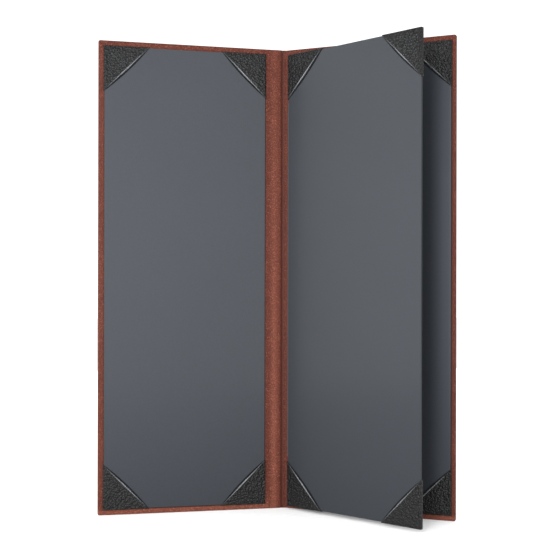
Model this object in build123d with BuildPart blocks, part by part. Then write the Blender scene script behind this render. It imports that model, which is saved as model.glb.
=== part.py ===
"""A menu cover that stands open like a book.

Two stiff covers in turned-edge leatherette fold about a narrow spine. Each
carries a card liner whose four corners are tucked into album corners, so that
a long sheet slips in behind them. A middle leaf with album corners on both of
its sides hangs on a cloth hinge from the back cover.

Sizes are in millimetres. +Z is up along the spine and the reader stands on
the -Y side. The origin is on the ground, halfway between the two folds and
halfway through the spine, so both fold lines lie in the plane y = 0.
"""
import math
import os

from build123d import *

os.makedirs("parts", exist_ok=True)

# The sheet that the covers hold, and the liner card behind it
sheet_width = 105.0
sheet_height = 297.0
sheet_side_room = 0.15
sheet_end_room = 0.5
liner_thickness = 0.5
liner_corner_radius = 0.4

# The turned-edge covers
board_thickness = 1.6
skin_thickness = 0.45
border_end = 4.0
border_outer = 3.9
border_inner = 3.2
back_liner_shift = 0.9
outer_corner_radius = 1.3
inner_corner_radius = 0.8
edge_round = 0.7
turn_in_width = 15.0
backing_fit = 0.2
glue_thickness = 0.3

# The album corners
corner_leg = 29.0
corner_thickness = 0.45
corner_wall = 0.5
corner_flange = 12.0
corner_round = 0.18
pocket_gap = 0.3
flange_room = 0.3

# The middle leaf
leaf_side_room = 0.1
leaf_end_room = 0.5
leaf_glue_thickness = 0.3
leaf_lift_angle = 20.5
leaf_pivot_from_fold = 3.2
leaf_edge_from_pivot = 1.2
leaf_height_above_ground = 2.9
tongue_length = 9.4
foot_length = 7.0
cloth_thickness = 0.3
cloth_bead_radius = 0.3
cloth_end_room = 2.0

# The folds
front_fold_angle = 0.0
back_fold_angle = 34.0
fold_gap = 2.6
closing_clearance = 0.325
web_thickness = 0.9
web_bead_radius = 0.5
web_end_inset = 0.5

# Sizes that follow from the ones above
liner_width = sheet_width + 2 * sheet_side_room
liner_height = sheet_height + 2 * sheet_end_room
leaf_width = sheet_width + 2 * leaf_side_room
leaf_height = sheet_height + 2 * leaf_end_room
cover_height = liner_height + 2 * border_end
slab_thickness = board_thickness + 2 * skin_thickness
pivot_level = slab_thickness / 2
liner_near = fold_gap + border_inner
liner_far = liner_near + liner_width
cover_far = liner_far + border_outer
liner_level = slab_thickness + glue_thickness
pocket_level = liner_level + liner_thickness
corner_level = pocket_level + pocket_gap
stack_height = corner_level + corner_thickness
leaf_card_level = leaf_glue_thickness / 2
leaf_pocket_level = leaf_card_level + liner_thickness
leaf_half = leaf_pocket_level + pocket_gap + corner_thickness
leaf_near = leaf_edge_from_pivot
leaf_far = leaf_near + leaf_width
leaf_low = leaf_height_above_ground
leaf_high = leaf_low + leaf_height
liner_low = border_end
liner_high = liner_low + liner_height

# Closed, the two stacks lie face to face with the leaf between them
closed_thickness = 2 * (stack_height + closing_clearance + leaf_half)
fold_spacing = closed_thickness - 2 * pivot_level
leaf_pivot_level = closed_thickness / 2
spine_width = fold_spacing - 2 * fold_gap

# The cloth hinge runs between the album corners above and below it
cloth_low = max(liner_low, leaf_low) + corner_leg + cloth_end_room
cloth_high = min(liner_high, leaf_high) - corner_leg - cloth_end_room


def folded_plane(side, fold, pivot, level):
    """The plane of a folded panel, seen from inside with local y upwards.

    side is 1 to the right of the spine and -1 to the left, fold is the angle
    out of the spine's plane, and level is the height that pivot has above it.
    """
    turn = math.radians(fold)
    across = Vector(math.cos(turn), -side * math.sin(turn), 0)
    inward = Vector(-side * math.sin(turn), -math.cos(turn), 0)
    return Plane(origin=pivot - inward * level, x_dir=across, z_dir=inward)


front_pivot = Vector(-fold_spacing / 2, 0, 0)
back_pivot = Vector(fold_spacing / 2, 0, 0)
spine_plane = folded_plane(1, 0, Vector(0, 0, 0), pivot_level)
front_plane = folded_plane(-1, front_fold_angle, front_pivot, pivot_level)
back_plane = folded_plane(1, back_fold_angle, back_pivot, pivot_level)
leaf_pivot = back_plane.from_local_coords((leaf_pivot_from_fold, 0, leaf_pivot_level))
leaf_plane = folded_plane(1, back_fold_angle + leaf_lift_angle, leaf_pivot, 0)


def save(piece, name):
    """Labels a finished piece and writes it."""
    piece.part.label = name
    export_step(piece.part, f"parts/{name}.step")


def slab(plane, side, near, far, low, high, thickness, near_radius, far_radius, ease):
    """A board between two distances from the fold, its long edges eased."""
    with BuildPart() as piece:
        with BuildSketch(plane):
            with Locations((side * (near + far) / 2, (low + high) / 2)):
                Rectangle(far - near, high - low)
            left, right = vertices().group_by(Axis.X)
            fillet(left, radius=near_radius if side > 0 else far_radius)
            fillet(right, radius=far_radius if side > 0 else near_radius)
        extrude(amount=thickness)
        along = Axis(plane.origin, plane.z_dir)
        flats = faces().filter_by(Plane(plane.origin, z_dir=plane.z_dir)).sort_by(along)
        fillet(flats[0].edges() + flats[-1].edges(), radius=ease)
    return piece


def make_board(name, plane, side, near, far, near_radius, far_radius):
    """The stiff board inside the leatherette, one skin thickness in all round."""
    skin = skin_thickness
    board = slab(
        plane.offset(skin), side, near + skin, far - skin, skin, cover_height - skin,
        board_thickness, near_radius - skin, far_radius - skin, edge_round - skin,
    )
    save(board, name)
    return board


def make_skin(name, plane, side, near, far, near_radius, far_radius, board, window):
    """The leatherette round a board, open where its turned edges stop short."""
    outside = slab(
        plane, side, near, far, 0, cover_height,
        slab_thickness, near_radius, far_radius, edge_round,
    )
    with BuildPart() as skin:
        add(outside.part)
        add(board.part, mode=Mode.SUBTRACT)
        if window:
            with BuildSketch(plane.offset(skin_thickness + board_thickness)):
                with Locations((side * (near + far) / 2, cover_height / 2)):
                    Rectangle(far - near - 2 * turn_in_width, cover_height - 2 * turn_in_width)
            extrude(amount=skin_thickness, mode=Mode.SUBTRACT)
    save(skin, name)


def make_backing(name, plane, side, glue_near, glue_far):
    """The filler inside the turned edges and the glue layer under the liner."""
    inset = turn_in_width + backing_fit
    with BuildPart() as backing:
        with BuildSketch(plane.offset(skin_thickness + board_thickness)):
            with Locations((side * (fold_gap + cover_far) / 2, cover_height / 2)):
                Rectangle(cover_far - fold_gap - 2 * inset, cover_height - 2 * inset)
        extrude(amount=skin_thickness)
        with BuildSketch(plane.offset(slab_thickness)):
            with Locations((side * (glue_near + glue_far) / 2, cover_height / 2)):
                Rectangle(glue_far - glue_near, liner_height)
            chamfer(vertices(), length=corner_flange + flange_room)
        extrude(amount=glue_thickness)
    save(backing, name)


def make_card(name, plane, side, near, far, low, high):
    """A liner card or a face of the leaf."""
    with BuildPart() as card:
        with BuildSketch(plane):
            with Locations((side * (near + far) / 2, (low + high) / 2)):
                RectangleRounded(far - near, high - low, liner_corner_radius)
        extrude(amount=liner_thickness)
    save(card, name)


def make_corner(name, plane, tip, inward, flange_thickness):
    """An album corner folded round the corner of a card.

    plane lies on the back of the card, tip is the card's own corner in it and
    inward the two signs that point from the tip over the card.
    """
    def spot(along, up):
        return (tip[0] + inward[0] * along, tip[1] + inward[1] * up)

    wall = corner_wall
    leg = corner_leg
    mouth = leg - wall
    with BuildPart() as corner:
        with BuildSketch(plane.offset(liner_thickness + pocket_gap)):
            with BuildLine():
                Polyline(spot(-wall, -wall), spot(leg, -wall), spot(-wall, leg), close=True)
            make_face()
        extrude(amount=corner_thickness)
        along = Axis(plane.origin, plane.z_dir)
        front = faces().filter_by(Plane(plane.origin, z_dir=plane.z_dir)).sort_by(along)[-1]
        fillet(front.edges(), radius=corner_round)
        with BuildSketch(plane.offset(-flange_thickness)):
            with BuildLine():
                Polyline(
                    spot(-wall, -wall), spot(leg, -wall), spot(mouth, 0),
                    spot(0, 0), spot(0, mouth), spot(-wall, leg), close=True,
                )
            make_face()
        extrude(amount=flange_thickness + liner_thickness + pocket_gap)
        with BuildSketch(plane.offset(-flange_thickness)):
            with BuildLine():
                Polyline(
                    spot(-wall, -wall), spot(corner_flange, -wall),
                    spot(-wall, corner_flange), close=True,
                )
            make_face()
        extrude(amount=flange_thickness)
    save(corner, name)


def make_corners(prefix, plane, side, near, far, low, high, flange_thickness):
    """The four album corners of one card."""
    for height, y, up in (("top", high, -1), ("bottom", low, 1)):
        for place, x, along in (("outer", far, -side), ("inner", near, side)):
            make_corner(
                f"{prefix}_{height}_{place}", plane, (side * x, y), (along, up),
                flange_thickness,
            )


def make_web(name, side, pivot, fold):
    """The flexible leatherette in a fold, with its crease bead on the axis."""
    turn = math.radians(fold)
    from_spine = Vector(-side, 0)
    to_cover = Vector(side * math.cos(turn), -math.sin(turn))
    half = web_thickness / 2
    with BuildPart() as web:
        for reach in (from_spine, to_cover):
            square = Vector(-reach.Y, reach.X) * half
            end = pivot + reach * fold_gap
            outline = (pivot - square, end - square, end + square, pivot + square)
            with BuildSketch(Plane.XY.offset(web_end_inset)):
                with BuildLine():
                    Polyline([(point.X, point.Y) for point in outline], close=True)
                make_face()
            extrude(amount=cover_height - 2 * web_end_inset)
        with BuildSketch(Plane.XY.offset(web_end_inset)):
            with Locations((pivot.X, pivot.Y)):
                Circle(web_bead_radius)
        extrude(amount=cover_height - 2 * web_end_inset)
    save(web, name)


# Spine
half_spine = spine_width / 2
spine_board = make_board(
    "spine_board", spine_plane, 1, -half_spine, half_spine,
    inner_corner_radius, inner_corner_radius,
)
make_skin(
    "spine_skin", spine_plane, 1, -half_spine, half_spine,
    inner_corner_radius, inner_corner_radius, spine_board, False,
)
make_web("front_hinge_web", -1, front_pivot, front_fold_angle)
make_web("back_hinge_web", 1, back_pivot, back_fold_angle)

# Covers, each with its liner and four album corners; the back liner is glued
# a little nearer the outer edge, so the margin there is narrower
foot_near = leaf_pivot_from_fold + cloth_thickness / 2
foot_far = foot_near + foot_length
for name, plane, side, shift, glue_from in (
    ("front", front_plane, -1, 0, 0),
    ("back", back_plane, 1, back_liner_shift, foot_far + backing_fit),
):
    card_near, card_far = liner_near + shift, liner_far + shift
    board = make_board(
        f"{name}_board", plane, side, fold_gap, cover_far,
        inner_corner_radius, outer_corner_radius,
    )
    make_skin(
        f"{name}_skin", plane, side, fold_gap, cover_far,
        inner_corner_radius, outer_corner_radius, board, True,
    )
    make_backing(f"{name}_backing", plane, side, max(card_near, glue_from), card_far)
    liner_plane = plane.offset(liner_level)
    liner = (side, card_near, card_far, liner_low, liner_high)
    make_card(f"{name}_liner", liner_plane, *liner)
    make_corners(f"{name}_corner", liner_plane, *liner, glue_thickness)

# Middle leaf, two cards glued back to back round the corners' flanges
leaf_reader_plane = leaf_plane.offset(leaf_card_level)
leaf_cover_plane = Plane(
    origin=leaf_plane.offset(-leaf_card_level).origin,
    x_dir=-leaf_plane.x_dir,
    z_dir=-leaf_plane.z_dir,
)
for name, plane, side in (
    ("leaf_reader", leaf_reader_plane, 1),
    ("leaf_cover", leaf_cover_plane, -1),
):
    leaf = (side, leaf_near, leaf_far, leaf_low, leaf_high)
    make_card(f"{name}_card", plane, *leaf)
    make_corners(f"{name}_corner", plane, *leaf, leaf_card_level)

tongue_far = leaf_near + tongue_length
with BuildPart() as leaf_core:
    with BuildSketch(leaf_plane.offset(-leaf_card_level)):
        with Locations(((leaf_near + leaf_far) / 2, (leaf_low + leaf_high) / 2)):
            Rectangle(leaf_width, leaf_height)
        chamfer(vertices(), length=corner_flange + flange_room)
        with Locations(((leaf_near + tongue_far + backing_fit) / 2, (cloth_low + cloth_high) / 2)):
            Rectangle(
                tongue_length + backing_fit, cloth_high - cloth_low + 2 * backing_fit,
                mode=Mode.SUBTRACT,
            )
    extrude(amount=leaf_glue_thickness)
save(leaf_core, "leaf_core")

# Cloth hinge of the leaf, a tongue in the leaf, a foot under the back liner
# and a flexible strip between them
with BuildPart() as leaf_hinge_tongue:
    with BuildSketch(leaf_plane.offset(-cloth_thickness / 2)):
        with Locations(((leaf_near + tongue_far) / 2, (cloth_low + cloth_high) / 2)):
            Rectangle(tongue_length, cloth_high - cloth_low)
    extrude(amount=cloth_thickness)
save(leaf_hinge_tongue, "leaf_hinge_tongue")

with BuildPart() as leaf_hinge_foot:
    with BuildSketch(back_plane.offset(slab_thickness)):
        with Locations(((foot_near + foot_far) / 2, (cloth_low + cloth_high) / 2)):
            Rectangle(foot_length, cloth_high - cloth_low)
    extrude(amount=cloth_thickness)
save(leaf_hinge_foot, "leaf_hinge_foot")

with BuildPart() as leaf_hinge_web:
    with BuildSketch(back_plane.offset(slab_thickness)):
        with Locations((leaf_pivot_from_fold, (cloth_low + cloth_high) / 2)):
            Rectangle(cloth_thickness, cloth_high - cloth_low)
    extrude(amount=leaf_pivot_level - slab_thickness)
    with BuildSketch(leaf_plane.offset(-cloth_thickness / 2)):
        with Locations((leaf_near / 2, (cloth_low + cloth_high) / 2)):
            Rectangle(leaf_near, cloth_high - cloth_low)
    extrude(amount=cloth_thickness)
    with BuildSketch(Plane.XY.offset(cloth_low)):
        with Locations((leaf_pivot.X, leaf_pivot.Y)):
            Circle(cloth_bead_radius)
    extrude(amount=cloth_high - cloth_low)
save(leaf_hinge_web, "leaf_hinge_web")

print("fold spacing", round(fold_spacing, 3), "spine", round(spine_width, 3))
print("leaf pivot", round(leaf_pivot.X, 3), round(leaf_pivot.Y, 3))
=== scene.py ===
# %% [markdown]
# # A menu cover, standing open
# A tall two-panel menu cover stands on its lower edge with its right panel folded
# towards the viewer and one stiff leaf, hinged beside the spine, fanned out.
# Reddish brown leatherette is turned over board, each side is lined with black
# satin card, and album corners of black pebbled leatherette hold the sheets.
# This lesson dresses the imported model: the CAD parts give every place and size.

import math

import bmesh
import bpy
import numpy as np
from mathutils import Matrix, Vector


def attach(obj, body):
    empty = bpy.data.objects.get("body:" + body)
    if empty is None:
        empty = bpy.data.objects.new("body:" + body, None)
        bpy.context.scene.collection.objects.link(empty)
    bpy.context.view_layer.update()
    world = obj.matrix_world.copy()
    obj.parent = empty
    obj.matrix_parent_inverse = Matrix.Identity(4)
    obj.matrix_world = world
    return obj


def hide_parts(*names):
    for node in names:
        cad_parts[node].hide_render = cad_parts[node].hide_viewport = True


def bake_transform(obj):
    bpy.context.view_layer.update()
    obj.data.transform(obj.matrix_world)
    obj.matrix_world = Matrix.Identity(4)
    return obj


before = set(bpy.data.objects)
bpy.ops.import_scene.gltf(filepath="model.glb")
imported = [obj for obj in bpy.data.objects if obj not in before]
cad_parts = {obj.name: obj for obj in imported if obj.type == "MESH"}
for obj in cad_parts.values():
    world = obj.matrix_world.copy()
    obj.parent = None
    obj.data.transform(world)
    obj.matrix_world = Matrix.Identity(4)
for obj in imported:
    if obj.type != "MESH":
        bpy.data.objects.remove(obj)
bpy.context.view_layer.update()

# %% [markdown]
# ## Sizes
# A bookbinder works from a short list of measures in millimetres. The same
# measures drive the CAD parts, so a piece built from them lands on its part.
# Each stiff panel has its own flat coordinates: the distance across from its
# fold, the height above the ground, and the level above its outer face.

# %% The binder's measures, in millimetres
cover_height = 306.0
cover_near, cover_far = 2.6, 115.0
spine_half_width = 1.925
cover_thickness = 2.5
leatherette_thickness = 0.45
turn_in = 15.0
nose_radius = 0.7
cover_corner_radius = 1.3
fold_height = 1.25
fold_offset = 4.525
back_fold_angle = 34.0
leaf_angle = 54.5
leaf_pivot = (4.6475723, -5.5408123)
leaf_pivot_from_fold = 3.2
liner_level = 2.8
liner_near, liner_far = 5.8, 111.1
back_liner_near, back_liner_far = 6.7, 112.0
liner_low, liner_high = 4.0, 302.0
leaf_card_level = 0.15
leaf_near, leaf_far = 1.2, 106.4
leaf_low, leaf_high = 2.9, 300.9
cloth_low, cloth_high = 35.0, 269.9
corner_leg = 29.0
corner_wall = 0.5
corner_flange = 12.0
corner_front_level = 1.25
cloth_half_thickness = 0.15


def panel(side, angle, pivot, pivot_level):
    """A stiff panel's place: how its across and inward directions lie."""
    turn = math.radians(angle)
    return {
        "pivot": np.array([pivot[0], pivot[1], 0.0]),
        "across": np.array([side * math.cos(turn), -math.sin(turn), 0.0]),
        "inward": np.array([-side * math.sin(turn), -math.cos(turn), 0.0]),
        "level": pivot_level,
    }


def placed(on, points):
    """Turns (across, height, level) in millimetres into metres in the frame."""
    points = np.asarray(points, float)
    return 0.001 * (
        on["pivot"]
        + points[:, :1] * on["across"]
        + points[:, 1:2] * np.array([0.0, 0.0, 1.0])
        + (points[:, 2:] - on["level"]) * on["inward"]
    )


spine_panel = panel(1, 0.0, (0.0, 0.0), fold_height)
front_panel = panel(-1, 0.0, (-fold_offset, 0.0), fold_height)
back_panel = panel(1, back_fold_angle, (fold_offset, 0.0), fold_height)
leaf_panel = panel(1, leaf_angle, leaf_pivot, 0.0)
print("its outer lower corner", placed(front_panel, [(liner_far, liner_low, liner_level)])[0])

# %% [markdown]
# ## One way to make a mesh
# Every piece here comes out of lists of points and faces. The helper merges
# points that fall together, turns all faces outwards, shades the surface
# smoothly and keeps only the really sharp edges sharp.

# %% A helper that turns points and faces into a piece


def make_piece(name, points, faces, sharpest=38.0):
    """A closed, smoothly shaded mesh object with its place in its mesh."""
    mesh = bpy.data.meshes.new(name)
    mesh.from_pydata([tuple(p) for p in points], [], faces)
    work = bmesh.new()
    work.from_mesh(mesh)
    bmesh.ops.remove_doubles(work, verts=work.verts, dist=2e-6)
    bmesh.ops.recalc_face_normals(work, faces=work.faces)
    for face in work.faces:
        face.smooth = True
    for edge in work.edges:
        joined = len(edge.link_faces) == 2
        edge.smooth = joined and edge.calc_face_angle(0.0) < math.radians(sharpest)
    open_edges = sum(1 for edge in work.edges if len(edge.link_faces) != 2)
    work.to_mesh(mesh)
    work.free()
    piece = bpy.data.objects.new(name, mesh)
    bpy.context.scene.collection.objects.link(piece)
    print(name, len(mesh.vertices), "points,", len(mesh.polygons), "faces,", open_edges, "open edges")
    return piece


def store_marks(piece, marks):
    """Stores each named list of numbers, one for every point of the mesh."""
    for name, values in marks.items():
        mark = piece.data.attributes.new(name, "FLOAT", "POINT")
        mark.data.foreach_set("value", values)


def grid_faces(rows, columns, start=0, round_columns=False):
    """Quads between the points of a grid that is stored row by row."""
    last = columns if round_columns else columns - 1
    return [
        (
            start + r * columns + c,
            start + r * columns + (c + 1) % columns,
            start + (r + 1) * columns + (c + 1) % columns,
            start + (r + 1) * columns + c,
        )
        for r in range(rows - 1)
        for c in range(last)
    ]


# %% [markdown]
# ## Materials: two small helpers
# Colours are read off a swatch as sRGB hex values and turned to the linear
# numbers that light works in. Nodes are added by one helper that also sets
# their values and makes their links, so each material reads from top to bottom.

# %% Helpers for colour and nodes


def linear(swatch):
    """A hex swatch as linear red, green, blue and full alpha."""
    parts = [int(swatch[i:i + 2], 16) / 255 for i in (1, 3, 5)]
    return tuple(
        c / 12.92 if c <= 0.04045 else ((c + 0.055) / 1.055) ** 2.4 for c in parts
    ) + (1.0,)


def add_node(tree, kind, settings=None, **sockets):
    """Adds a node, sets its settings, and sets or links its named inputs."""
    node = tree.nodes.new(kind)
    for key, value in (settings or {}).items():
        setattr(node, key, value)
    for key, value in sockets.items():
        socket = node.inputs[int(key[1:])] if key[0] == "_" else node.inputs[key.replace("_", " ")]
        if isinstance(value, bpy.types.NodeSocket):
            tree.links.new(value, socket)
        else:
            socket.default_value = value
    return node


def new_material(name):
    """An empty material, its node tree, and the place on the object in metres."""
    material = bpy.data.materials.new(name)
    material.use_nodes = True
    tree = material.node_tree
    tree.nodes.clear()
    place = add_node(tree, "ShaderNodeTexCoord").outputs["Object"]
    return material, tree, place


def ramp(tree, factor, stops):
    """A colour ramp over swatches, given as (position, swatch) pairs."""
    node = add_node(tree, "ShaderNodeValToRGB", _0=factor)
    marks = node.color_ramp.elements
    while len(marks) < len(stops):
        marks.new(0.5)
    for mark, (position, swatch) in zip(marks, stops):
        mark.position = position
        mark.color = linear(swatch)
    return node.outputs["Color"]


def spread(tree, value, low, high, to_low, to_high):
    """Maps a value from one range to another."""
    return add_node(
        tree, "ShaderNodeMapRange", From_Min=low, From_Max=high,
        To_Min=to_low, To_Max=to_high, Value=value,
    ).outputs["Result"]


def mixed(tree, factor, first, second, blend="MIX"):
    """One colour over another, by a factor."""
    return add_node(
        tree, "ShaderNodeMix", {"data_type": "RGBA", "blend_type": blend},
        _0=factor, _6=first, _7=second,
    ).outputs[2]


def marked(tree, name):
    """The value that the mesh has stored under a name."""
    return add_node(tree, "ShaderNodeAttribute", {"attribute_name": name}).outputs["Fac"]


def maths(tree, operation, *values):
    """One step of arithmetic on numbers or sockets."""
    sockets = {f"_{place}": value for place, value in enumerate(values)}
    return add_node(tree, "ShaderNodeMath", {"operation": operation}, **sockets).outputs["Value"]


def noise(tree, place, scale, detail, **more):
    """The value of a noise texture."""
    return add_node(
        tree, "ShaderNodeTexNoise", Vector=place, Scale=scale, Detail=detail, **more,
    ).outputs["Fac"]


def relief_of(tree, height, strength, distance, invert=False):
    """A bump from a height; distance is in metres."""
    return add_node(
        tree, "ShaderNodeBump", {"invert": invert}, Strength=strength, Distance=distance, Height=height,
    ).outputs["Normal"]


def finish_material(tree, shader):
    """Links a finished shader to the output."""
    add_node(tree, "ShaderNodeOutputMaterial", Surface=shader.outputs[0])


print("a swatch of the leatherette, linear:", linear("#7a4438"))

# %% [markdown]
# ## Turned leatherette
# The covers are bookbinder's leatherette: a cloth-backed film of pigmented
# polyurethane, embossed with a very fine leather grain. It has a quiet sheen,
# a warm reddish brown body, and a slight mottle where the pigment thins out
# on the tops of the grain. Two named attributes on the mesh say where light and shade are painted on: painted
# light over the front fold, paler towards the foot, and along the lower margins inside; painted shade in the
# crease by the back fold and as a painted shadow line beside the liners.

# %% The leatherette of the covers, spine and hinges


def turned_leatherette():
    material, tree, place = new_material("leatherette_embossed_pu_on_cloth")
    fleck = noise(tree, place, 2100.0, 3.0, Roughness=0.6)
    grain = add_node(
        tree, "ShaderNodeTexVoronoi", {"feature": "SMOOTH_F1"},
        Vector=place, Scale=1900.0, Smoothness=0.35, Randomness=1.0,
    ).outputs["Distance"]
    cloud = noise(tree, place, 70.0, 3.0)
    body = ramp(tree, fleck, [(0.28, "#240d07"), (0.48, "#3b170e"), (0.60, "#4b2216"), (0.74, "#7d4f40")])
    tint = ramp(tree, cloud, [(0.35, "#ece6e2"), (0.65, "#ffffff")])
    colour = mixed(tree, 0.6, body, tint, "MULTIPLY")
    # The pale tone is painted light, mixed in where the mesh stores it.
    pale = ramp(tree, fleck, [(0.28, "#3a1c13"), (0.48, "#542c20"), (0.60, "#68392b"), (0.74, "#9a6a59")])
    with_painted_light = mixed(tree, marked(tree, "painted_light"), colour, pale)
    # Painted shade: near-black mixed in where the mesh stores it.
    shade = mixed(tree, marked(tree, "painted_shade"), with_painted_light, linear("#220d09"))
    rough = spread(tree, fleck, 0.3, 0.7, 0.66, 0.54)
    relief = relief_of(tree, grain, 0.5, 0.00005)
    shader = add_node(
        tree, "ShaderNodeBsdfPrincipled", Base_Color=shade, Roughness=rough,
        Normal=relief, IOR=1.48, Specular_IOR_Level=0.12,
    )
    finish_material(tree, shader)
    return material


leatherette = turned_leatherette()
print("made", leatherette.name)

# %% [markdown]
# ## Pebbled corner leatherette
# The album corners are the same kind of film in black, embossed with a deeper pebble grain of about 1 mm and
# folded hard, so light catches the tops of the pebbles. A pale line along the rolled mouth is a painted
# highlight, and the matte black ledge past it a painted shadow under the mouth. The upper corners are painted
# paler, and made smoother, than the lower ones, and each corner is painted darker towards its folded edges:
# painted light and shade. Named attributes on the mesh say where the mouth and the folded edges are.

# %% The black leatherette of the album corners


def pebbled_leatherette():
    material, tree, place = new_material("leatherette_pebbled_black_pu")
    wander = add_node(
        tree, "ShaderNodeTexNoise", Vector=place, Scale=700.0, Detail=2.0,
    ).outputs["Color"]
    moved = add_node(
        tree, "ShaderNodeVectorMath", {"operation": "MULTIPLY_ADD"},
        _0=wander, _1=(0.0005, 0.0005, 0.0005), _2=place,
    ).outputs["Vector"]
    pebble = add_node(
        tree, "ShaderNodeTexVoronoi", {"feature": "SMOOTH_F1"},
        Vector=moved, Scale=820.0, Smoothness=0.25, Randomness=1.0,
    ).outputs["Distance"]
    fine = noise(tree, place, 2600.0, 2.0)
    # Painted light and shade: a lit tone, palest on the pebble tops, and a shaded tone of the same black, mixed
    # by height, paler upwards, and by the raised middle, darker towards the folded edges.
    lit_tone = ramp(tree, pebble, [(0.08, "#26292c"), (0.34, "#0c0d0e"), (0.62, "#010101")])
    shaded_tone = ramp(tree, pebble, [(0.08, "#0a0b0c"), (0.34, "#040505"), (0.62, "#010101")])
    height_up = add_node(tree, "ShaderNodeSeparateXYZ", _0=place).outputs["Z"]
    upper = spread(tree, height_up, 0.02, 0.28, 0.1, 1.0)
    raised = maths(tree, "MULTIPLY", marked(tree, "raised"), upper)
    body = mixed(tree, raised, shaded_tone, lit_tone)
    # Painted highlight: pale grey along the rolled mouth.
    painted_highlight = mixed(tree, marked(tree, "painted_highlight"), body, linear("#8d9196"))
    # Painted shadow: near-black and fully rough on the ledge past the mouth.
    shadow_ledge = marked(tree, "shadow_ledge")
    colour = mixed(tree, shadow_ledge, painted_highlight, linear("#030304"))
    height = maths(tree, "MULTIPLY_ADD", fine, -0.25, pebble)
    relief = relief_of(tree, height, 1.0, 0.0007, invert=True)
    pebble_rough = maths(
        tree, "ADD",
        spread(tree, pebble, 0.1, 0.7, 0.22, 0.46), spread(tree, raised, 0.0, 1.0, 0.05, 0.0),
    )
    rough = maths(tree, "MAXIMUM", pebble_rough, shadow_ledge)
    shader = add_node(
        tree, "ShaderNodeBsdfPrincipled", Base_Color=colour, Roughness=rough,
        Normal=relief, IOR=1.48, Specular_IOR_Level=0.2,
    )
    finish_material(tree, shader)
    return material


corner_leatherette = pebbled_leatherette()
print("made", corner_leatherette.name)

# %% [markdown]
# ## Satin liner card
# The panels are lined with black satin card: board faced with a calendered
# film. It is nearly black in itself and looks grey only because it mirrors the
# soft light, blurred. Its surface has faint long waves from the glue and a
# fine tooth, so the mirrored light is never quite even.

# %% The black satin of the liners and the leaf


def satin_card():
    material, tree, place = new_material("card_black_satin_calendered")
    waves = noise(tree, place, 14.0, 3.0, Roughness=0.5)
    tooth = noise(tree, place, 2200.0, 2.0)
    body = ramp(tree, tooth, [(0.35, "#181a1d"), (0.65, "#1d1f22")])
    soft = spread(tree, waves, 0.35, 0.65, 0.48, 0.52)
    relief = relief_of(tree, maths(tree, "MULTIPLY_ADD", waves, 60.0, tooth), 0.25, 0.000008)
    shader = add_node(
        tree, "ShaderNodeBsdfPrincipled", Base_Color=body, Roughness=soft, Normal=relief,
        IOR=1.5, Specular_IOR_Level=0.2, Specular_Tint=linear("#e4eeff"),
        Coat_Weight=0.16, Coat_Roughness=0.16, Coat_IOR=1.5, Coat_Normal=relief,
    )
    finish_material(tree, shader)
    return material


satin = satin_card()
print("made", satin.name)

# %% [markdown]
# ## The hidden makings
# Inside are bookbinder's greyboard, pressed from pulped paper with visible
# fibres, a filler of black dyed paper set in glue under the liner, and black
# bookcloth, woven at about two threads a millimetre, for the leaf's hinge. They show only at the cut edges. The
# filler is dyed because its rim shows beside the liner.

# %% Greyboard, black filler and bookcloth


def pressed_board(name, dark, middle, light, fibre_size):
    """Pulp board or filler: stretched fibres in three tones."""
    material, tree, place = new_material(name)
    laid = add_node(
        tree, "ShaderNodeMapping", Vector=place, Scale=(1.0, 1.0, 0.35),
    ).outputs["Vector"]
    fibre = noise(tree, laid, 1.0 / fibre_size, 5.0, Roughness=0.7, Distortion=1.2)
    colour = ramp(tree, fibre, [(0.3, dark), (0.5, middle), (0.72, light)])
    relief = relief_of(tree, fibre, 0.4, 0.00004)
    shader = add_node(
        tree, "ShaderNodeBsdfPrincipled", Base_Color=colour, Roughness=0.9,
        Normal=relief, Specular_IOR_Level=0.25,
    )
    finish_material(tree, shader)
    return material


def woven_cloth(name, dark, light, thread):
    """Plain-weave cloth, with threads of the given width in metres."""
    material, tree, place = new_material(name)
    turn = 2 * math.pi / (2 * thread)
    lanes = add_node(tree, "ShaderNodeSeparateXYZ", _0=place)
    sideways = maths(tree, "SUBTRACT", lanes.outputs["X"], lanes.outputs["Y"])
    weft, warp = (
        maths(tree, "SINE", maths(tree, "MULTIPLY", line, turn)) for line in (sideways, lanes.outputs["Z"])
    )
    over = maths(tree, "MULTIPLY", weft, warp)
    fuzz = noise(tree, place, 3000.0, 2.0)
    height = maths(tree, "MULTIPLY_ADD", fuzz, 0.6, over)
    colour = ramp(tree, spread(tree, height, -0.8, 1.4, 0.0, 1.0), [(0.2, dark), (0.8, light)])
    relief = relief_of(tree, height, 0.6, 0.00008)
    shader = add_node(
        tree, "ShaderNodeBsdfPrincipled", Base_Color=colour, Roughness=0.85, Normal=relief,
        Specular_IOR_Level=0.3, Sheen_Weight=0.15,
    )
    finish_material(tree, shader)
    return material


greyboard = pressed_board("greyboard_pressed_pulp", "#6f6a62", "#8c867c", "#a9a397", 0.0011)
black_filler = pressed_board("paper_black_dyed_with_dried_glue", "#0a0b0c", "#121315", "#1c1d20", 0.0006)
bookcloth = woven_cloth("bookcloth_black_plain_weave", "#08090a", "#2a2c2f", 0.0005)
print("made", greyboard.name, black_filler.name, bookcloth.name)

# %% [markdown]
# ## CAD parts that already have the right shape
# The liner cards, boards, fillers and the leaf's inner layers are flat and
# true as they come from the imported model. They keep their own meshes, and only
# their finish is new.

# %% Dress the carried-over CAD parts
finish_of = {
    "front_liner": satin, "back_liner": satin, "leaf_reader_card": satin, "leaf_cover_card": satin,
    "front_board": greyboard, "back_board": greyboard, "spine_board": greyboard,
    "front_backing": black_filler, "back_backing": black_filler, "leaf_core": black_filler,
    "leaf_hinge_tongue": bookcloth, "leaf_hinge_foot": bookcloth,
}
for node, material in finish_of.items():
    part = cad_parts[node]
    part.data.materials.clear()
    part.data.materials.append(material)
print("dressed", len(finish_of), "CAD parts")

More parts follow.
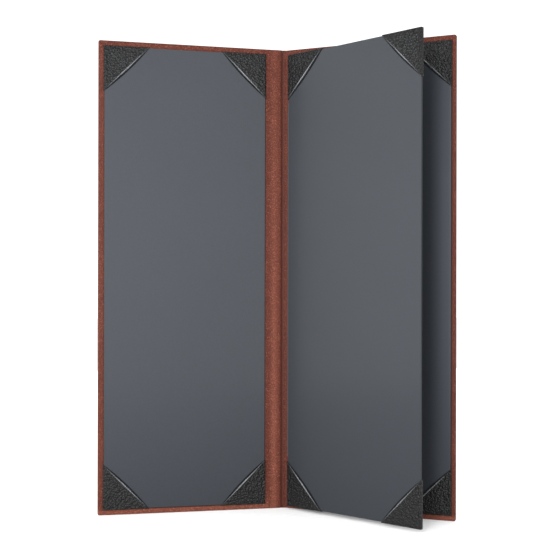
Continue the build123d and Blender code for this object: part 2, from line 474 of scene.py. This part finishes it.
# %% [markdown]
# ## The covers' leatherette
# A binder lays the board on the back of the leatherette, cuts the corners off
# at an angle and turns the margins over the board, so the front is one clean
# sheet and the inside shows a margin with a fine mitred seam at each outer
# corner. The mesh does the same: rings follow the cover's outline, over the
# rounded nose and in along the margin, and back again on the leatherette's
# glued side, so the piece is one closed sheet of real thickness. Plain mesh
# code suits it, because each ring's points are counted from its own corners
# and the seam stays straight.

# %% The path of one ring round a cover


def ring(side_inset, fold_inset, radius, near, far, with_seam):
    """Points (across, height, distance to the corner seam) of one outline.

    side_inset is how far the ring lies inside the three free edges and
    fold_inset how far it lies inside the edge at the fold.
    """
    close = [14.0, 10.0, 7.0, 5.0, 3.6, 2.6, 1.8, 1.2, 0.8, 0.5, 0.3, 0.15, 0.0]
    reach = max(side_inset, radius)
    left = near + fold_inset
    right = far - reach
    low, high = side_inset, cover_height - side_inset
    corner_low, corner_high = reach, cover_height - reach
    path = []
    for share in np.linspace(0.0, 1.0, 9)[:-1]:
        path.append((left + (right - close[0] - left) * share, low, 99.0))
    path += [(right - gap, low, gap) for gap in close]
    arc = max(radius - side_inset, 0.0)
    for step in range(1, 9):
        angle = math.radians(90 * step / 9)
        path.append((right + arc * math.sin(angle), corner_low - arc * math.cos(angle), 0.0))
    edge = far - side_inset
    path += [(edge, corner_low + gap, gap) for gap in reversed(close)]
    for share in np.linspace(0.0, 1.0, 25)[1:-1]:
        start, end = corner_low + close[0], corner_high - close[0]
        path.append((edge, start + (end - start) * share, 99.0))
    path += [(edge, corner_high - gap, gap) for gap in close]
    for step in range(1, 9):
        angle = math.radians(90 * step / 9)
        path.append((right + arc * math.cos(angle), corner_high + arc * math.sin(angle), 0.0))
    path += [(right - gap, high, gap) for gap in reversed(close)]
    for share in np.linspace(1.0, 0.0, 9)[1:]:
        path.append((left + (right - close[0] - left) * share, high, 99.0))
    for share in np.linspace(1.0, 0.0, 25)[1:-1]:
        path.append((left, low + (high - low) * share, 99.0))
    return path if with_seam else [(a, h, 99.0) for a, h, gap in path]


print("points on one ring:", len(ring(0.0, 0.0, cover_corner_radius, cover_near, cover_far, True)))

# %% The section over the nose, and the whole sheet


def nose_section():
    """(inset, level, fold inset, on the outside) over a turned edge.

    It runs from the outer face over the rounded nose, in along the margin and
    back along the glued side. At the fold the sheet is simply cut across,
    because the flexible hinge carries on from there.
    """
    skin = leatherette_thickness
    inner = nose_radius - skin
    top = cover_thickness
    quarter = [math.radians(a) for a in (0, 15, 30, 45, 60, 75, 90)]
    section = [(6.0, 0.0, 6.0, True), (2.0, 0.0, 2.0, True)]
    section += [
        (nose_radius * (1 - math.sin(a)), nose_radius * (1 - math.cos(a)), 0.0, True) for a in quarter
    ]
    section += [(0.0, top / 2, 0.0, True)]
    section += [
        (nose_radius * (1 - math.cos(a)), top - nose_radius * (1 - math.sin(a)), 0.0, True) for a in quarter
    ]
    margin = (1.1, 1.6, 2.0, 2.3, 2.6, 2.9, 3.2, 3.5, 3.8, 4.1, 6.0, 9.0, 12.0, turn_in)
    section += [(inset, top, inset, True) for inset in margin]
    section += [(turn_in, top - skin, turn_in, False), (2.0, top - skin, 2.0, False)]
    section += [
        (skin + inner * (1 - math.sin(a)), top - skin - inner * (1 - math.cos(a)), skin, False)
        for a in quarter[::2]
    ]
    section += [
        (skin + inner * (1 - math.cos(a)), skin + inner * (1 - math.sin(a)), skin, False)
        for a in quarter[::2]
    ]
    section += [(2.0, skin, 2.0, False), (6.0, skin, 6.0, False)]
    return section


seam_depth, seam_width, seam_fade = 0.16, 0.28, 1.2


def turned_sheet(name, on, liner, shadow_side):
    """One cover's leatherette: outer face, turned margins and mitred seams."""
    points, columns = [], 0
    section = nose_section()
    for inset, level, fold_inset, outside in section:
        path = ring(inset, fold_inset, cover_corner_radius, cover_near, cover_far, outside)
        columns = len(path)
        for across, height, gap in path:
            lift = 0.0
            if outside and level > cover_thickness / 2 and inset >= nose_radius and gap < 90:
                apart = gap / math.sqrt(2)
                fade = min(1.0, (inset - nose_radius) / seam_fade)
                lift = -seam_depth * math.exp(-((apart / seam_width) ** 2)) * fade
            if outside and 0 < inset < nose_radius + seam_fade and level > 1.0 and gap == 0.0:
                lift -= 0.03
            points.append((across, height, level + lift))
    faces = grid_faces(len(section), columns, 0, True)
    faces.append(tuple(range(columns)))
    last = (len(section) - 1) * columns
    faces.append(tuple(reversed(range(last, last + columns))))
    piece = make_piece(name, placed(on, points), faces)
    mark_margin(piece, on, liner, shadow_side)
    return piece


# Reach and fade of the painted shadow line beside the liners, and of the painted light along the lower margins.
shadow_line_reach, shadow_line_fade, shadow_line_elsewhere = 0.85, 0.35, 0.2
bottom_light_start, bottom_light_fade, bottom_light_strength = 0.4, 0.8, 0.6
inner_side_above = 2.0


def mark_margin(piece, on, liner, shadow_side):
    """Stores a painted shadow line beside the liner and painted light on the lower margin.

    The painted shadow line runs below the liner and on one of its sides: 1 is its outer side and -1 its side at
    the fold.
    """
    near, far = liner
    marks = {"painted_shade": [], "painted_light": []}
    for vertex in piece.data.vertices:
        from_pivot = 1000 * np.array(vertex.co) - on["pivot"]
        across, height = from_pivot @ on["across"], from_pivot[2]
        inside = from_pivot @ on["inward"] + on["level"] > inner_side_above
        beside = across - far if shadow_side > 0 else near - across
        outline = max(near - across, across - far, liner_low - height, height - liner_high)
        # A painted shadow line: full below the liner and on its one side, weaker elsewhere.
        shadow_line_share = shadow_line_elsewhere if outline > max(beside, liner_low - height) + 1e-6 else 1.0
        line = shadow_line_share * min(max((shadow_line_reach - outline) / shadow_line_fade, 0.0), 1.0)
        # Painted light along the lower margin, below the liner.
        painted_highlight = bottom_light_strength * min(max((liner_low - bottom_light_start - height) / bottom_light_fade, 0.0), 1.0)
        marks["painted_shade"].append(line if inside else 0.0)
        marks["painted_light"].append(painted_highlight if inside else 0.0)
    store_marks(piece, marks)


for body, node, on, liner, shadow_side in (
    ("front_cover", "front_skin", front_panel, (liner_near, liner_far), -1),
    ("back_cover", "back_skin", back_panel, (back_liner_near, back_liner_far), 1),
):
    piece = turned_sheet(node.replace("skin", "turned_leatherette"), on, liner, shadow_side)
    piece.data.materials.append(leatherette)
    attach(piece, body)
    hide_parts(node)

# %% [markdown]
# ## Spine and hinges
# The same leatherette runs on over the spine and through the two folds, where
# there is no board inside it and a binder presses it into a groove with a bone
# folder. The spine rides on its own body.

# %% Loops for the spine and the hinges


def loop_at(across, low_level, high_level, place):
    """One closed loop over the top, bottom and both faces of the strip."""
    share = [math.radians(a) for a in (0, 15, 30, 45, 60, 75, 90)]
    radius = min(nose_radius, (high_level - low_level) / 2 - 0.02)
    ends = [(radius * (1 - math.sin(a)), low_level + radius * (1 - math.cos(a))) for a in share]
    ends += [(radius * (1 - math.cos(a)), high_level - radius * (1 - math.sin(a))) for a in share]
    heights = np.linspace(8.0, cover_height - 8.0, 31)
    loop = [(across, height, low_level) for height in heights[::-1]]
    loop += [(across, inset, level) for inset, level in ends]
    loop += [(across, height, high_level) for height in heights]
    loop += [(across, cover_height - inset, level) for inset, level in reversed(ends)]
    return place(loop)


def strip(name, stations, place):
    """A loft through loops at the given (across, low level, high level)."""
    loops = [loop_at(a, lo, hi, place) for a, lo, hi in stations]
    columns = len(loops[0])
    points = np.concatenate(loops)
    faces = grid_faces(len(loops), columns, 0, True)
    faces += [tuple(range(columns)), tuple(reversed(range(len(points) - columns, len(points))))]
    return make_piece(name, points, faces)


def in_fold(pivot, turn_degrees, side, reach):
    """Bends a strip about a fold, smoothly from the spine to the cover."""
    turn = math.radians(turn_degrees)

    def place(points):
        bent = []
        for across, height, level in points:
            share = min(max((across + reach) / (2 * reach), 0.0), 1.0)
            angle = turn * share * share * (3 - 2 * share)
            rise = level - fold_height
            x = across * math.cos(angle) - rise * math.sin(angle)
            y = -across * math.sin(angle) - rise * math.cos(angle)
            bent.append((0.001 * (pivot + side * x), 0.001 * y, 0.001 * height))
        return np.array(bent)

    return place


def dip(position, centre, width):
    """A soft groove: 1 in its middle, 0 beyond its width."""
    away = abs(position - centre) / width
    return 0.0 if away >= 1 else 0.5 + 0.5 * math.cos(math.pi * away)


crease_at, crease_reach, crease_depth = 1.85, 1.6, 0.42
# Where the painted light over the front fold lies and how far it reaches, across the spine.
painted_light_at, painted_light_reach = -3.7, 4.2


def inner_level(x):
    """How high the leatherette's inner face lies at x across the spine."""
    hump = 0.08 * dip(x, -2.2, 3.6)
    return cover_thickness + hump - crease_depth * dip(x, crease_at, crease_reach)


def mark_folds(piece):
    """Stores painted light over the front fold, paler towards the foot, and painted shade in the crease by the
    back fold.
    """
    marks = {"painted_light": [], "painted_shade": []}
    for vertex in piece.data.vertices:
        x, inside = 1000 * vertex.co.x, vertex.co.y < 0
        foot = 1 - 1000 * vertex.co.z / cover_height
        # Painted light, paler towards the foot, and painted shade in the crease, both on the inner face only.
        marks["painted_light"].append((0.2 + 0.6 * foot) * dip(x, painted_light_at, painted_light_reach) if inside else 0.0)
        marks["painted_shade"].append(0.6 * dip(x, crease_at, crease_reach) if inside else 0.0)
    store_marks(piece, marks)


spine_stations = []
for across in np.linspace(-spine_half_width, spine_half_width, 15):
    spine_stations.append((across, 0.0, inner_level(across)))
spine_leatherette = strip(
    "spine_leatherette", spine_stations, lambda points: placed(spine_panel, points),
)

groove_depth, groove_reach = 0.75, 2.5
front_stations, back_stations = [], []
for across in np.linspace(-cover_near, cover_near, 33):
    groove = groove_depth * dip(across, 0.0, groove_reach)
    front_stations.append((across, groove, inner_level(-fold_offset - across)))
    back_stations.append((across, groove, inner_level(fold_offset + across)))
front_hinge = strip(
    "front_hinge_leatherette", front_stations, in_fold(-fold_offset, 0.0, -1, cover_near),
)
back_hinge = strip(
    "back_hinge_leatherette", back_stations, in_fold(fold_offset, back_fold_angle, 1, cover_near),
)

# %% Set the spine and the hinges on their bodies
for piece in (spine_leatherette, front_hinge, back_hinge):
    mark_folds(piece)
    piece.data.materials.append(leatherette)
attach(spine_leatherette, "spine")
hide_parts("spine_skin")
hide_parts("front_hinge_web")
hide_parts("back_hinge_web")
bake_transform(front_hinge)
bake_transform(back_hinge)
print("spine and two hinges in place")

# %% [markdown]
# ## The leaf's cloth hinge
# The leaf swings on a strip of black bookcloth that stands up from the back
# cover beside the liner and disappears between the leaf's two cards. It is
# thin and bends sharply at the leaf's edge, so it is one thin loft with a
# round bend, blended from the back cover to the leaf.

# %% The cloth strip between back cover and leaf


def cloth_strip():
    """A closed thin loft from the back cover's face up and over into the leaf."""
    half = cloth_half_thickness
    foot = placed(back_panel, [(leaf_pivot_from_fold, 0.0, cover_thickness)])[0][:2] * 1000
    knee = np.array(leaf_pivot)
    tip = placed(leaf_panel, [(leaf_near, 0.0, 0.0)])[0][:2] * 1000
    rise, run = knee - foot, tip - knee
    centre_line = [foot + rise * share for share in np.linspace(0.0, 0.88, 9)]
    start, end = centre_line[-1], knee + run * 0.66
    for share in np.linspace(0.15, 0.85, 6):
        centre_line.append((1 - share) ** 2 * start + 2 * share * (1 - share) * knee + share ** 2 * end)
    centre_line += [end, tip]
    points, heights = [], np.linspace(cloth_low, cloth_high, 25)
    for place, point in enumerate(centre_line):
        before = centre_line[max(place - 1, 0)]
        after = centre_line[min(place + 1, len(centre_line) - 1)]
        way = (after - before) / np.linalg.norm(after - before)
        square = np.array([-way[1], way[0]]) * half
        for edge, run_of_heights in ((square, heights), (-square, heights[::-1])):
            for height in run_of_heights:
                x, y = point + edge
                points.append((0.001 * x, 0.001 * y, 0.001 * height))
    columns = 2 * len(heights)
    faces = grid_faces(len(centre_line), columns, 0, True)
    faces += [tuple(range(columns)), tuple(reversed(range(len(points) - columns, len(points))))]
    return make_piece("leaf_hinge_bookcloth", points, faces), foot, tip


leaf_cloth, cloth_foot, cloth_tip = cloth_strip()
leaf_cloth.data.materials.append(bookcloth)
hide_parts("leaf_hinge_web")
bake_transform(leaf_cloth)
print("cloth hinge from", cloth_foot, "to", cloth_tip)

# %% [markdown]
# ## Album corners: the pattern piece
# An album corner is a triangle of pebbled leatherette folded round the corner
# of the card, with its mouth, the long diagonal edge, turned under so that it
# is rolled and strong. All sixteen are the same piece, so one pattern is made
# in mesh code: rows run from the tip to the mouth and columns run from the
# flange on the back, round one folded edge, across the front and round the
# other. Named attributes record where on the corner each point is, for the creases that come next and for the
# painted highlight, painted shadow and painted light and shade in the material.

# %% Rows and columns of the corner pattern


def corner_rows():
    """(share from tip to mouth, added front level, inner drop, bow) for each row.

    The last rows are the turned-under edge, which shows as a narrow ledge past the rolled mouth and bows out in
    its middle; it is painted black and matte as the shadow under the mouth. The roll stays low, because the rolls
    of two corners meet when the cover is closed.
    """
    length = (corner_leg + corner_wall) / math.sqrt(2)
    rows = [(0.0, 0.0, 0.0, 0.0)]
    rows += [(d / length, 0.0, 0.0, 0.0) for d in (0.12, 0.25, 0.42, 0.7, 1.1, 1.6, 2.2, 3.0, 4.0)]
    rows += [(d / length, 0.0, 0.0, 0.0) for d in np.arange(5.2, length - 2.4, 1.15)]
    lip = [(2.2, 0.0, 0.0), (1.7, 0.0, 0.0), (1.3, 0.02, 0.02), (0.9, 0.05, 0.04), (0.55, 0.075, 0.04)]
    rows += [((length - d) / length, up, down, 0.0) for d, up, down in lip]
    round_over = [(0.32, 0.06), (0.16, 0.0), (0.05, -0.12), (0.0, -0.28)]
    rows += [((length - d) / length, up, 0.04, 0.0) for d, up in round_over]
    # These rows bow out past the mouth as the ledge that carries the painted shadow.
    rows += [(1.0, -0.32, 0.02, 0.6), (1.0, -0.34, 0.0, 1.15), (1.0, -0.42, 0.0, 1.2)]
    return rows


def tip_round(reach, radius=0.4):
    """Where a point on a folded edge lies, with the very tip rounded off."""
    if reach >= radius:
        return reach, 0.0
    angle = math.pi / 4 * (1 - reach / radius)
    return radius - radius * math.sin(angle), radius - radius * math.cos(angle)


print("rows from tip to mouth:", len(corner_rows()))

# %% Build the pattern for a flange of a given thickness
sheet_thickness = 0.45
front_round, inner_round, flange_round = 0.5, 0.18, 0.2
outer_wall_top, inner_wall_top = 0.45, 0.42
card_gap = 0.02
dome_height = 0.05


def corner_pattern(name, flange_level):
    """The corner as a closed folded sheet; x and y run along the card's edges."""
    rows = corner_rows()
    inner_tip = corner_leg - corner_wall
    arc = [math.radians(a) for a in (0, 18, 36, 54, 72, 90)]
    front_shares = np.linspace(0.0, 1.0, 23)[1:-1]
    outer, inner = [], []
    for share, lift, drop, bow in rows:
        reach = (corner_leg + corner_wall) * share
        along, off = tip_round(reach)
        x_out, y_out = along - corner_wall, off - corner_wall
        x_in = inner_tip * share
        flange = max(0.0, min(x_out - flange_round, corner_flange - corner_wall - x_out))
        top = corner_front_level
        half_row = 0.46 * abs(x_out - y_out)
        side_out = [
            (x_out, y_out + corner_wall + flange * f, -flange_level) for f in (1.0, 0.5, 0.0)
        ]
        for a in arc[::2]:
            turned, raised = flange_round * (1 - math.sin(a)), flange_round * (1 - math.cos(a))
            side_out.append((x_out, y_out + turned, -flange_level + raised))
        side_out += [(x_out, y_out, outer_wall_top)]
        for a in arc:
            shift = min(front_round * (1 - math.cos(a)), half_row)
            level = top - front_round * (1 - math.sin(a)) + lift * math.sin(a)
            side_out.append((x_out - shift, y_out + shift, level))
        side_in = [(x_in, flange * f, 0.0) for f in (1.0, 0.5, 0.0)]
        side_in += [(x_in, -card_gap, card_gap + 0.04 * k) for k in range(3)]
        side_in += [(x_in, -card_gap, inner_wall_top)]
        for a in arc:
            shift = min(inner_round * (1 - math.cos(a)), 0.4 * x_in)
            under = top - sheet_thickness - inner_round * (1 - math.sin(a)) - drop * math.sin(a)
            side_in.append((x_in - shift, shift - card_gap, under))
        front_out, front_in = [], []
        a_out, a_in = side_out[-1], side_in[-1]
        b_out, b_in = (a_out[1], a_out[0]), (a_in[1], a_in[0])
        for f in front_shares:
            dome = dome_height * math.sin(math.pi * f) * min(1.0, share * 1.6) * (1 - 0.35 * share)
            past = bow * math.sin(math.pi * f) ** 0.8 / math.sqrt(2)
            for row, a, b, rise in ((front_out, a_out, b_out, dome), (front_in, a_in, b_in, 0.5 * dome)):
                x, y = (near + (far - near) * f + past for near, far in zip(a, b))
                row.append((x, y, a[2] + rise))
        outer.append(side_out + front_out + [(y, x, z) for x, y, z in reversed(side_out)])
        inner.append(side_in + front_in + [(y, x, z) for x, y, z in reversed(side_in)])
    count = len(outer[0])
    points = [p for row in outer for p in row] + [p for row in inner for p in row]
    size = len(rows) * count
    faces = grid_faces(len(rows), count) + grid_faces(len(rows), count, size)
    last = (len(rows) - 1) * count
    faces += [(last + c, last + c + 1, size + last + c + 1, size + last + c) for c in range(count - 1)]
    folded_in = next(c for c in range(count) if abs(outer[0][c][2] - outer_wall_top) < 1e-9)
    tip_loop = list(range(folded_in + 1)) + list(range(count - folded_in, count))
    faces.append(tuple(tip_loop + [size + c for c in reversed(range(count))]))
    for c in (0, count - 1):
        faces += [
            (r * count + c, (r + 1) * count + c, size + (r + 1) * count + c, size + r * count + c)
            for r in range(len(rows) - 1)
        ]
    piece = make_piece(name, 0.001 * np.array(points), faces, 60.0)
    mark_corner(piece)
    return piece


# Where the painted highlight along the mouth lies and how strong it is, and where the ledge with its painted
# shadow begins.
lip_centre, lip_width, lip_highlight = 0.24, 0.21, 0.62
ledge_past_mouth, ledge_above, front_above = 0.03, 0.7, 1.0


def mark_corner(piece):
    """Stores where a point is: front, the painted highlight along the lip, the ledge with its painted shadow, and
    the raised middle, painted paler than the folded edges.
    """
    mouth = (corner_leg - corner_wall) / math.sqrt(2)
    marks = {"front": [], "painted_highlight": [], "shadow_ledge": [], "raised": []}
    for vertex in piece.data.vertices:
        x, y, z = (1000 * value for value in vertex.co)
        to_mouth = mouth - (x + y) / math.sqrt(2)
        on_front = 1.0 if z > front_above else 0.0
        middle = max(0.0, 1 - abs(x - y) / 30.0)
        taper = middle * middle * (3 - 2 * middle)
        lip = math.exp(-((to_mouth - lip_centre) / lip_width) ** 2) * (0.04 + 0.96 * taper)
        inward = min(max(min(x, y) / 5.0, 0.0), 1.0)
        marks["front"].append(on_front)
        marks["painted_highlight"].append(lip_highlight * lip * on_front)
        # The ledge past the mouth carries the painted shadow.
        on_shadow_ledge = to_mouth < -ledge_past_mouth and z > ledge_above
        marks["shadow_ledge"].append(1.0 if on_shadow_ledge else 0.0)
        # The raised mark grades the painted light and shade: lower towards the folded edges.
        marks["raised"].append(on_front * (0.15 + 0.85 * inward * inward * (3 - 2 * inward)))
    store_marks(piece, marks)


cover_pattern = corner_pattern("cover_corner_pattern", 0.3)
leaf_pattern = corner_pattern("leaf_corner_pattern", 0.15)

# %% [markdown]
# ## Album corners: four to a card
# Every card has a corner at each of its four corners, each turned a quarter
# further than the last, which is what instancing in Geometry Nodes is for: four
# points, the pattern on each, a quarter turn per point. After the instances are
# made real, a second step gives each corner its own small creases that run out
# from the tip, as hand-folded leatherette has, from a fixed seed.

# %% The node tree that sets four corners on a card


def corner_tree():
    """Pattern and card sizes in, four creased corners out."""
    tree = bpy.data.node_groups.new("set_album_corners", "GeometryNodeTree")
    tree.interface.new_socket("Geometry", in_out="OUTPUT", socket_type="NodeSocketGeometry")
    tree.interface.new_socket("Geometry", in_out="INPUT", socket_type="NodeSocketGeometry")
    inputs = (
        ("Pattern", "NodeSocketObject"), ("Card left", "NodeSocketFloat"), ("Card right", "NodeSocketFloat"),
        ("Card bottom", "NodeSocketFloat"), ("Card top", "NodeSocketFloat"), ("Crease height", "NodeSocketFloat"),
        ("Crease count", "NodeSocketFloat"), ("Crease reach", "NodeSocketFloat"), ("Seed", "NodeSocketInt"),
        ("Leatherette", "NodeSocketMaterial"),
    )
    for label, kind in inputs:
        tree.interface.new_socket(label, in_out="INPUT", socket_type=kind)
    given = add_node(tree, "NodeGroupInput").outputs

    number = add_node(tree, "GeometryNodeInputIndex").outputs[0]
    upper = maths(tree, "GREATER_THAN", number, 1.5)
    off_left = maths(tree, "ABSOLUTE", maths(tree, "SUBTRACT", number, 1.5))
    is_right = maths(tree, "LESS_THAN", off_left, 1.0)
    at_x = add_node(tree, "ShaderNodeMix", _0=is_right, _2=given["Card left"], _3=given["Card right"]).outputs[0]
    at_y = add_node(tree, "ShaderNodeMix", _0=upper, _2=given["Card bottom"], _3=given["Card top"]).outputs[0]
    spot = add_node(tree, "ShaderNodeCombineXYZ", X=at_x, Y=at_y).outputs[0]
    tips = add_node(tree, "GeometryNodePoints", Count=4, Position=spot).outputs[0]
    turn = add_node(tree, "ShaderNodeCombineXYZ", Z=maths(tree, "MULTIPLY", number, math.pi / 2)).outputs[0]
    pattern = add_node(tree, "GeometryNodeObjectInfo", Object=given["Pattern"]).outputs["Geometry"]
    local = add_node(tree, "GeometryNodeInputPosition").outputs[0]
    kept = add_node(
        tree, "GeometryNodeStoreNamedAttribute", {"data_type": "FLOAT_VECTOR", "domain": "POINT"},
        Geometry=pattern, Name="on_corner", Value=local,
    ).outputs[0]
    corners = add_node(
        tree, "GeometryNodeInstanceOnPoints", Points=tips, Instance=kept, Rotation=turn,
    ).outputs[0]
    numbered = add_node(
        tree, "GeometryNodeStoreNamedAttribute", {"data_type": "FLOAT", "domain": "INSTANCE"},
        Geometry=corners, Name="which_corner", Value=add_node(tree, "GeometryNodeInputIndex").outputs[0],
    ).outputs[0]
    real = add_node(tree, "GeometryNodeRealizeInstances", Geometry=numbered).outputs[0]

    own = add_node(
        tree, "GeometryNodeInputNamedAttribute", {"data_type": "FLOAT_VECTOR"}, Name="on_corner",
    ).outputs[0]
    front = add_node(tree, "GeometryNodeInputNamedAttribute", {"data_type": "FLOAT"}, Name="front").outputs[0]
    which = add_node(
        tree, "GeometryNodeInputNamedAttribute", {"data_type": "FLOAT"}, Name="which_corner",
    ).outputs[0]
    lanes = add_node(tree, "ShaderNodeSeparateXYZ", _0=own)
    bearing = maths(tree, "ARCTAN2", lanes.outputs["Y"], lanes.outputs["X"])
    away = add_node(tree, "ShaderNodeVectorMath", {"operation": "LENGTH"}, _0=own).outputs["Value"]
    shuffled = maths(tree, "MULTIPLY_ADD", which, 7.3, given["Seed"])
    crease = add_node(
        tree, "ShaderNodeTexNoise", {"noise_dimensions": "2D"}, Detail=1.0, Scale=1.0,
        Vector=add_node(
            tree, "ShaderNodeCombineXYZ",
            X=maths(tree, "MULTIPLY", bearing, given["Crease count"]), Y=shuffled,
        ).outputs[0],
    ).outputs[0]
    fading = maths(tree, "SUBTRACT", 1.0, maths(tree, "DIVIDE", away, given["Crease reach"]))
    fading = maths(tree, "MAXIMUM", fading, 0.0)
    near_tip = maths(tree, "MINIMUM", maths(tree, "MULTIPLY", away, 250.0), 1.0)
    height = maths(tree, "MULTIPLY", maths(tree, "SUBTRACT", crease, 0.62), given["Crease height"])
    eased = maths(tree, "MULTIPLY", fading, near_tip)
    height = maths(tree, "MULTIPLY", maths(tree, "MULTIPLY", height, front), eased)
    lifted = add_node(
        tree, "GeometryNodeSetPosition", Geometry=real,
        Offset=add_node(tree, "ShaderNodeCombineXYZ", Z=height).outputs[0],
    ).outputs[0]
    dressed = add_node(
        tree, "GeometryNodeSetMaterial", Geometry=lifted, Material=given["Leatherette"],
    ).outputs[0]
    add_node(tree, "NodeGroupOutput", Geometry=dressed)
    return tree


album_corners = corner_tree()
print("node tree with", len(album_corners.nodes), "nodes")

# %% Put the corners on each card


def set_corners(name, pattern, box, seed, across, up, out, origin):
    """Runs the tree for one card and leaves a plain mesh in its place."""
    carrier = bpy.data.objects.new(name + "_carrier", bpy.data.meshes.new(name + "_empty"))
    bpy.context.scene.collection.objects.link(carrier)
    step = carrier.modifiers.new("corners", "NODES")
    step.node_group = album_corners
    values = {
        "Pattern": pattern, "Card left": 0.001 * box[0], "Card right": 0.001 * box[1],
        "Card bottom": 0.001 * box[2], "Card top": 0.001 * box[3], "Crease height": 0.0009,
        "Crease count": 8.0, "Crease reach": 0.028, "Seed": seed, "Leatherette": corner_leatherette,
    }
    for item in album_corners.interface.items_tree:
        if item.item_type == "SOCKET" and item.in_out == "INPUT" and item.name in values:
            step[item.identifier] = values[item.name]
    seen = carrier.evaluated_get(bpy.context.evaluated_depsgraph_get())
    mesh = bpy.data.meshes.new_from_object(seen)
    carrier.modifiers.clear()
    bpy.data.objects.remove(carrier)
    place = Matrix((
        (across[0], up[0], out[0], 0.001 * origin[0]),
        (across[1], up[1], out[1], 0.001 * origin[1]),
        (across[2], up[2], out[2], 0.001 * origin[2]),
        (0, 0, 0, 1),
    ))
    mesh.transform(place)
    piece = bpy.data.objects.new(name, mesh)
    bpy.context.scene.collection.objects.link(piece)
    print(name, len(mesh.vertices), "points,", len(mesh.polygons), "faces")
    return piece


up = (0.0, 0.0, 1.0)
cards = []
for name, on, side, box, level, seed in (
    ("front", front_panel, -1, (-liner_far, -liner_near, liner_low, liner_high), liner_level, 3),
    ("back", back_panel, 1, (back_liner_near, back_liner_far, liner_low, liner_high), liner_level, 11),
    ("leaf_reader", leaf_panel, 1, (leaf_near, leaf_far, leaf_low, leaf_high), leaf_card_level, 23),
    ("leaf_cover", leaf_panel, -1, (-leaf_far, -leaf_near, leaf_low, leaf_high), leaf_card_level, 37),
):
    across = side * on["across"]
    out = on["inward"] * (side if on is leaf_panel else 1)
    origin = on["pivot"] + out * (level - on["level"])
    pattern = leaf_pattern if on is leaf_panel else cover_pattern
    piece = set_corners(name + "_album_corners", pattern, box, seed, across, up, out, origin)
    cards.append((piece, name, {"front": "front_cover", "back": "back_cover"}.get(name, "leaf")))
for piece, name, body in cards:
    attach(piece, body)
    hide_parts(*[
        f"{name}_corner_{height}_{place}" for height in ("top", "bottom") for place in ("outer", "inner")
    ])
for pattern in (cover_pattern, leaf_pattern):
    bpy.data.objects.remove(pattern)
print("corners set on", len(cards), "cards")

# %% [markdown]
# ## Floor, light and camera
# The object stands on a plain pale floor in a white room. Four soft cards, in
# front and to the left, are what the black satin mirrors: the panels darken
# towards the ground because there they mirror the floor instead. A fifth card
# lights the back. The camera stands level, a little to the left of the cover,
# as the photograph was taken.

# %% A pale floor and a white room


def pale_paper():
    material, tree, place = new_material("paper_white_matte")
    tooth = noise(tree, place, 260.0, 3.0)
    colour = ramp(tree, tooth, [(0.3, "#e4e4e4"), (0.7, "#eaeaea")])
    shader = add_node(
        tree, "ShaderNodeBsdfPrincipled", Base_Color=colour, Roughness=0.95, Specular_IOR_Level=0.1,
    )
    finish_material(tree, shader)
    return material


reach = 8.0
floor_mesh = bpy.data.meshes.new("floor")
floor_corners = [(-reach, -reach, 0), (reach, -reach, 0), (reach, reach, 0), (-reach, reach, 0)]
floor_mesh.from_pydata(floor_corners, [], [(0, 1, 2, 3)])
floor = bpy.data.objects.new("floor", floor_mesh)
bpy.context.scene.collection.objects.link(floor)
floor.data.materials.append(pale_paper())

room = bpy.data.worlds.new("white_room")
room.use_nodes = True
room.node_tree.nodes.clear()
air = add_node(room.node_tree, "ShaderNodeBackground", Color=(1.0, 1.0, 1.0, 1.0), Strength=1.25)
add_node(room.node_tree, "ShaderNodeOutputWorld", Surface=air.outputs[0])
bpy.context.scene.world = room
bpy.context.scene.view_settings.view_transform = "Standard"
print("floor and room made")

# %% Soft cards that the satin mirrors


def soft_card(name, centre, aim, width, height, brightness):
    """An area light of the given size, turned to face a point."""
    data = bpy.data.lights.new(name, "AREA")
    data.shape, data.size, data.size_y = "RECTANGLE", width, height
    data.energy = brightness * math.pi * width * height
    light = bpy.data.objects.new(name, data)
    way = Vector(aim) - Vector(centre)
    light.matrix_world = Matrix.Translation(centre) @ way.to_track_quat("-Z", "Y").to_matrix().to_4x4()
    bpy.context.scene.collection.objects.link(light)
    return light


card_level, card_height, card_brightness = 0.285, 0.56, 3.5
middle = (0.0, 0.0, card_level)
soft_card("card_front", (0.34, -0.76, card_level), (0.34, 0.0, card_level), 1.3, card_height, card_brightness)
soft_card("card_front_left", (-0.60, -0.64, card_level), middle, 0.6, card_height, card_brightness)
soft_card("card_left", (-0.86, 0.0, card_level), middle, 0.9, card_height, card_brightness)
soft_card("card_behind", (0.1, 1.30, 0.45), (0.0, 0.0, 0.2), 1.6, 0.9, 2.4)
soft_card("card_beside_camera", (-0.42, -0.83, card_level), middle, 0.2, card_height, 22.0)
print("five soft cards")

# %% The camera, as the photograph was taken
camera_data = bpy.data.cameras.new("camera")
camera_data.sensor_width, camera_data.lens = 36.0, 65.21
camera_data.shift_y = 0.04056
camera_data.clip_start, camera_data.clip_end = 0.01, 50.0
camera = bpy.data.objects.new("camera", camera_data)
bearing, aside, roll = math.radians(12.41), math.radians(0.050), math.radians(0.116)
away, eye_height = 0.6790, 0.13717
stand = Vector((-math.sin(bearing) * away, -math.cos(bearing) * away, eye_height))
camera.matrix_world = (
    Matrix.Translation(stand) @ Matrix.Rotation(-bearing - aside, 4, "Z")
    @ Matrix.Rotation(math.radians(90), 4, "X") @ Matrix.Rotation(roll, 4, "Z")
)
bpy.context.scene.collection.objects.link(camera)
bpy.context.scene.camera = camera
print("camera at", tuple(round(x, 4) for x in stand))
